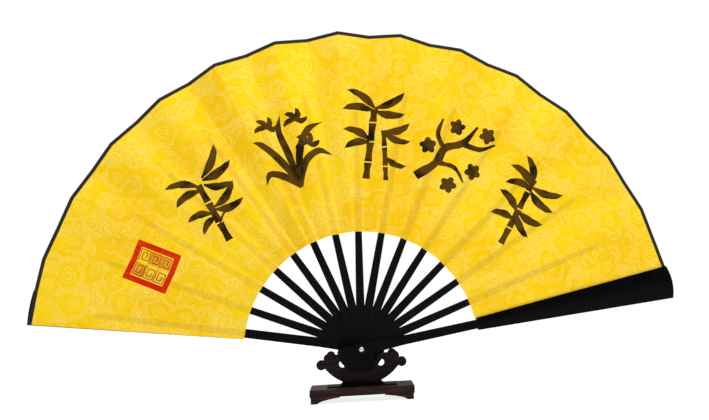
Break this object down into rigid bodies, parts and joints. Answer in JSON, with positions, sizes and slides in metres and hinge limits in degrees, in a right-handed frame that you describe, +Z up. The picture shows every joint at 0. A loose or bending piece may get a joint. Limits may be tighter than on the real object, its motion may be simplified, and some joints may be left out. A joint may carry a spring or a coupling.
{
  "type": "folding hand fan on stand",
  "caption": "Folding hand fan with a pleated cloth leaf on lacquered sticks, shown open on a small carved wooden cradle stand.",
  "frame": {"origin": "on the table, under the middle of the stand's base", "axes": "+X to the viewer's right along the open fan, -Y out of the fan's decorated face towards the viewer, +Z up"},
  "size_m": [0.6184, 0.041, 0.3578],
  "materials": {
    "leaf_cloth": "golden yellow brocade, slightly satin",
    "binding_tape": "black woven tape",
    "rib_lacquer": "black lacquered, semi-gloss",
    "guard_lacquer": "black lacquered, high gloss",
    "pin_metal": "pale satin metal",
    "stand_wood": "dark red-brown, semi-gloss",
    "screw_steel": "plain"
  },
  "bodies": {
    "stand": {"stand_base": "stand_wood", "stand_riser": "stand_wood", "cradle_board": "stand_wood", "stand_screws": "screw_steel"},
    "stick_01": {"guard_back": "guard_lacquer", "leaf_pleat_01": "leaf_cloth"},
    "stick_02": {"rib_02": "rib_lacquer", "leaf_pleat_02": "leaf_cloth"},
    "stick_03": {"rib_03": "rib_lacquer", "leaf_pleat_03": "leaf_cloth"},
    "stick_04": {"rib_04": "rib_lacquer", "leaf_pleat_04": "leaf_cloth"},
    "stick_05": {"rib_05": "rib_lacquer", "leaf_pleat_05": "leaf_cloth"},
    "stick_06": {"rib_06": "rib_lacquer", "leaf_pleat_06": "leaf_cloth"},
    "stick_07": {"rib_07": "rib_lacquer", "leaf_pleat_07": "leaf_cloth"},
    "stick_08": {"rib_08": "rib_lacquer", "leaf_pleat_08": "leaf_cloth", "pivot_pin": "pin_metal", "pin_head_front": "pin_metal", "pin_head_back": "pin_metal", "edge_binding": "binding_tape"},
    "stick_09": {"rib_09": "rib_lacquer", "leaf_pleat_09": "leaf_cloth"},
    "stick_10": {"rib_10": "rib_lacquer", "leaf_pleat_10": "leaf_cloth"},
    "stick_11": {"rib_11": "rib_lacquer", "leaf_pleat_11": "leaf_cloth"},
    "stick_12": {"rib_12": "rib_lacquer", "leaf_pleat_12": "leaf_cloth"},
    "stick_13": {"rib_13": "rib_lacquer", "leaf_pleat_13": "leaf_cloth"},
    "stick_14": {"rib_14": "rib_lacquer", "leaf_pleat_14": "leaf_cloth"},
    "stick_15": {"guard_front": "guard_lacquer", "leaf_pleat_15": "leaf_cloth"},
    "fold_01": {"leaf_fold_01": "leaf_cloth"},
    "fold_02": {"leaf_fold_02": "leaf_cloth"},
    "fold_03": {"leaf_fold_03": "leaf_cloth"},
    "fold_04": {"leaf_fold_04": "leaf_cloth"},
    "fold_05": {"leaf_fold_05": "leaf_cloth"},
    "fold_06": {"leaf_fold_06": "leaf_cloth"},
    "fold_07": {"leaf_fold_07": "leaf_cloth"},
    "fold_08": {"leaf_fold_08": "leaf_cloth"},
    "fold_09": {"leaf_fold_09": "leaf_cloth"},
    "fold_10": {"leaf_fold_10": "leaf_cloth"},
    "fold_11": {"leaf_fold_11": "leaf_cloth"},
    "fold_12": {"leaf_fold_12": "leaf_cloth"},
    "fold_13": {"leaf_fold_13": "leaf_cloth"},
    "fold_14": {"leaf_fold_14": "leaf_cloth"}
  },
  "joints": [
    {"name": "fan_lift", "type": "slide", "parent": "stand", "child": "stick_08", "axis": [0, 0, 1], "range_m": [0, 0.05]},
    {"name": "fan_fold", "type": "hinge", "parent": "stick_08", "child": "stick_09", "pos_m": [0, 0, 0.048], "axis": [0, -1, 0], "range_deg": [0, 11.5], "deforming": ["edge_binding"]},
    {"name": "stick_10_turn", "type": "hinge", "parent": "stick_09", "child": "stick_10", "pos_m": [0, 0, 0.048], "axis": [0, -1, 0], "range_deg": [0, 11.5]},
    {"name": "stick_11_turn", "type": "hinge", "parent": "stick_10", "child": "stick_11", "pos_m": [0, 0, 0.048], "axis": [0, -1, 0], "range_deg": [0, 11.5]},
    {"name": "stick_12_turn", "type": "hinge", "parent": "stick_11", "child": "stick_12", "pos_m": [0, 0, 0.048], "axis": [0, -1, 0], "range_deg": [0, 11.5]},
    {"name": "stick_13_turn", "type": "hinge", "parent": "stick_12", "child": "stick_13", "pos_m": [0, 0, 0.048], "axis": [0, -1, 0], "range_deg": [0, 11.5]},
    {"name": "stick_14_turn", "type": "hinge", "parent": "stick_13", "child": "stick_14", "pos_m": [0, 0, 0.048], "axis": [0, -1, 0], "range_deg": [0, 11.5]},
    {"name": "stick_15_turn", "type": "hinge", "parent": "stick_14", "child": "stick_15", "pos_m": [0, 0, 0.048], "axis": [0, -1, 0], "range_deg": [0, 11.5]},
    {"name": "stick_07_turn", "type": "hinge", "parent": "stick_08", "child": "stick_07", "pos_m": [0, 0, 0.048], "axis": [0, 1, 0], "range_deg": [0, 11.5]},
    {"name": "stick_06_turn", "type": "hinge", "parent": "stick_07", "child": "stick_06", "pos_m": [0, 0, 0.048], "axis": [0, 1, 0], "range_deg": [0, 11.5]},
    {"name": "stick_05_turn", "type": "hinge", "parent": "stick_06", "child": "stick_05", "pos_m": [0, 0, 0.048], "axis": [0, 1, 0], "range_deg": [0, 11.5]},
    {"name": "stick_04_turn", "type": "hinge", "parent": "stick_05", "child": "stick_04", "pos_m": [0, 0, 0.048], "axis": [0, 1, 0], "range_deg": [0, 11.5]},
    {"name": "stick_03_turn", "type": "hinge", "parent": "stick_04", "child": "stick_03", "pos_m": [0, 0, 0.048], "axis": [0, 1, 0], "range_deg": [0, 11.5]},
    {"name": "stick_02_turn", "type": "hinge", "parent": "stick_03", "child": "stick_02", "pos_m": [0, 0, 0.048], "axis": [0, 1, 0], "range_deg": [0, 11.5]},
    {"name": "stick_01_turn", "type": "hinge", "parent": "stick_02", "child": "stick_01", "pos_m": [0, 0, 0.048], "axis": [0, 1, 0], "range_deg": [0, 11.5]},
    {"name": "fold_01_turn", "type": "hinge", "parent": "stick_02", "child": "fold_01", "pos_m": [0, 0, 0.048], "axis": [0, 1, 0], "range_deg": [0, 5.75]},
    {"name": "fold_02_turn", "type": "hinge", "parent": "stick_03", "child": "fold_02", "pos_m": [0, 0, 0.048], "axis": [0, 1, 0], "range_deg": [0, 5.75]},
    {"name": "fold_03_turn", "type": "hinge", "parent": "stick_04", "child": "fold_03", "pos_m": [0, 0, 0.048], "axis": [0, 1, 0], "range_deg": [0, 5.75]},
    {"name": "fold_04_turn", "type": "hinge", "parent": "stick_05", "child": "fold_04", "pos_m": [0, 0, 0.048], "axis": [0, 1, 0], "range_deg": [0, 5.75]},
    {"name": "fold_05_turn", "type": "hinge", "parent": "stick_06", "child": "fold_05", "pos_m": [0, 0, 0.048], "axis": [0, 1, 0], "range_deg": [0, 5.75]},
    {"name": "fold_06_turn", "type": "hinge", "parent": "stick_07", "child": "fold_06", "pos_m": [0, 0, 0.048], "axis": [0, 1, 0], "range_deg": [0, 5.75]},
    {"name": "fold_07_turn", "type": "hinge", "parent": "stick_08", "child": "fold_07", "pos_m": [0, 0, 0.048], "axis": [0, 1, 0], "range_deg": [0, 5.75]},
    {"name": "fold_08_turn", "type": "hinge", "parent": "stick_08", "child": "fold_08", "pos_m": [0, 0, 0.048], "axis": [0, -1, 0], "range_deg": [0, 5.75]},
    {"name": "fold_09_turn", "type": "hinge", "parent": "stick_09", "child": "fold_09", "pos_m": [0, 0, 0.048], "axis": [0, -1, 0], "range_deg": [0, 5.75]},
    {"name": "fold_10_turn", "type": "hinge", "parent": "stick_10", "child": "fold_10", "pos_m": [0, 0, 0.048], "axis": [0, -1, 0], "range_deg": [0, 5.75]},
    {"name": "fold_11_turn", "type": "hinge", "parent": "stick_11", "child": "fold_11", "pos_m": [0, 0, 0.048], "axis": [0, -1, 0], "range_deg": [0, 5.75]},
    {"name": "fold_12_turn", "type": "hinge", "parent": "stick_12", "child": "fold_12", "pos_m": [0, 0, 0.048], "axis": [0, -1, 0], "range_deg": [0, 5.75]},
    {"name": "fold_13_turn", "type": "hinge", "parent": "stick_13", "child": "fold_13", "pos_m": [0, 0, 0.048], "axis": [0, -1, 0], "range_deg": [0, 5.75]},
    {"name": "fold_14_turn", "type": "hinge", "parent": "stick_14", "child": "fold_14", "pos_m": [0, 0, 0.048], "axis": [0, -1, 0], "range_deg": [0, 5.75]}
  ],
  "couplings": [
    {"joint": "stick_10_turn", "follows": "fan_fold", "ratio": 1},
    {"joint": "stick_11_turn", "follows": "fan_fold", "ratio": 1},
    {"joint": "stick_12_turn", "follows": "fan_fold", "ratio": 1},
    {"joint": "stick_13_turn", "follows": "fan_fold", "ratio": 1},
    {"joint": "stick_14_turn", "follows": "fan_fold", "ratio": 1},
    {"joint": "stick_15_turn", "follows": "fan_fold", "ratio": 1},
    {"joint": "stick_07_turn", "follows": "fan_fold", "ratio": 1},
    {"joint": "stick_06_turn", "follows": "fan_fold", "ratio": 1},
    {"joint": "stick_05_turn", "follows": "fan_fold", "ratio": 1},
    {"joint": "stick_04_turn", "follows": "fan_fold", "ratio": 1},
    {"joint": "stick_03_turn", "follows": "fan_fold", "ratio": 1},
    {"joint": "stick_02_turn", "follows": "fan_fold", "ratio": 1},
    {"joint": "stick_01_turn", "follows": "fan_fold", "ratio": 1},
    {"joint": "fold_01_turn", "follows": "fan_fold", "ratio": 0.5},
    {"joint": "fold_02_turn", "follows": "fan_fold", "ratio": 0.5},
    {"joint": "fold_03_turn", "follows": "fan_fold", "ratio": 0.5},
    {"joint": "fold_04_turn", "follows": "fan_fold", "ratio": 0.5},
    {"joint": "fold_05_turn", "follows": "fan_fold", "ratio": 0.5},
    {"joint": "fold_06_turn", "follows": "fan_fold", "ratio": 0.5},
    {"joint": "fold_07_turn", "follows": "fan_fold", "ratio": 0.5},
    {"joint": "fold_08_turn", "follows": "fan_fold", "ratio": 0.5},
    {"joint": "fold_09_turn", "follows": "fan_fold", "ratio": 0.5},
    {"joint": "fold_10_turn", "follows": "fan_fold", "ratio": 0.5},
    {"joint": "fold_11_turn", "follows": "fan_fold", "ratio": 0.5},
    {"joint": "fold_12_turn", "follows": "fan_fold", "ratio": 0.5},
    {"joint": "fold_13_turn", "follows": "fan_fold", "ratio": 0.5},
    {"joint": "fold_14_turn", "follows": "fan_fold", "ratio": 0.5}
  ]
}
